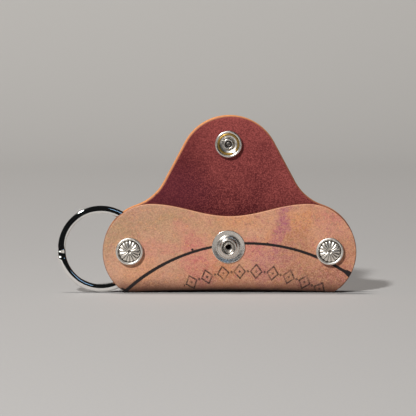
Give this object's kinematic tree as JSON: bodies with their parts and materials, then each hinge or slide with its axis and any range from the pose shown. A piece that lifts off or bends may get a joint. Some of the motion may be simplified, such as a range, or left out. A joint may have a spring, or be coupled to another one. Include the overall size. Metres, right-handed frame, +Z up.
{
  "type": "key case",
  "caption": "Folded leather key case with a snap flap, two riveted posts that hold keys, and a split key ring hanging from one post.",
  "frame": {"origin": "on the surface that the case stands on, halfway between the bottom fold's two ends and midway between the two panels", "axes": "+X along the case to the picture's right, +Y from the front panel to the back panel, +Z up"},
  "size_m": [0.1119, 0.0112, 0.0664],
  "materials": {
    "leather_tan": "undyed outer side, matt, mottled with faint pink and olive stains and one inked line",
    "leather_burgundy": "dyed smooth side with a fine grain, satin",
    "nickel_plate": "bright nickel plate, lightly worn",
    "antique_silver": "bright plate with darkened grooves",
    "ring_chrome": "polished chrome",
    "brass": "bare brass wire"
  },
  "bodies": {
    "case": {"leather_case": "leather_tan", "snap_stud": "nickel_plate", "snap_eyelet": "nickel_plate", "left_concho_cup": "antique_silver", "left_rosette": "antique_silver", "left_post": "nickel_plate", "left_back_screw": "nickel_plate", "right_concho_cup": "antique_silver", "right_rosette": "antique_silver", "right_post": "nickel_plate", "right_back_screw": "nickel_plate"},
    "fold_1": {"fold_strip_1": "leather_burgundy"},
    "fold_2": {"fold_strip_2": "leather_burgundy"},
    "fold_3": {"fold_strip_3": "leather_burgundy"},
    "flap": {"leather_flap": "leather_burgundy", "snap_socket": "nickel_plate", "snap_ring_spring": "brass", "snap_cap": "nickel_plate", "snap_cap_post": "nickel_plate"},
    "ring": {"key_ring": "ring_chrome"}
  },
  "joints": [
    {"name": "flap_fold", "type": "hinge", "parent": "case", "child": "fold_1", "pos_m": [0, 0.00215, 0.0313], "axis": [1, 0, 0], "range_deg": [0, 45]},
    {"name": "flap_fold_2", "type": "hinge", "parent": "fold_1", "child": "fold_2", "pos_m": [0, 0.00215, 0.03476], "axis": [1, 0, 0], "range_deg": [0, 45]},
    {"name": "flap_fold_3", "type": "hinge", "parent": "fold_2", "child": "fold_3", "pos_m": [0, 0.00215, 0.03822], "axis": [1, 0, 0], "range_deg": [0, 45]},
    {"name": "flap_fold_4", "type": "hinge", "parent": "fold_3", "child": "flap", "pos_m": [0, 0.00215, 0.04168], "axis": [1, 0, 0], "range_deg": [0, 45]},
    {"name": "ring_swing", "type": "hinge", "parent": "case", "child": "ring", "pos_m": [-0.0375, 0, 0.0158], "axis": [0, 1, 0], "range_deg": [0, 17]}
  ],
  "couplings": [
    {"joint": "flap_fold_2", "follows": "flap_fold", "ratio": 1},
    {"joint": "flap_fold_3", "follows": "flap_fold", "ratio": 1},
    {"joint": "flap_fold_4", "follows": "flap_fold", "ratio": 1}
  ]
}
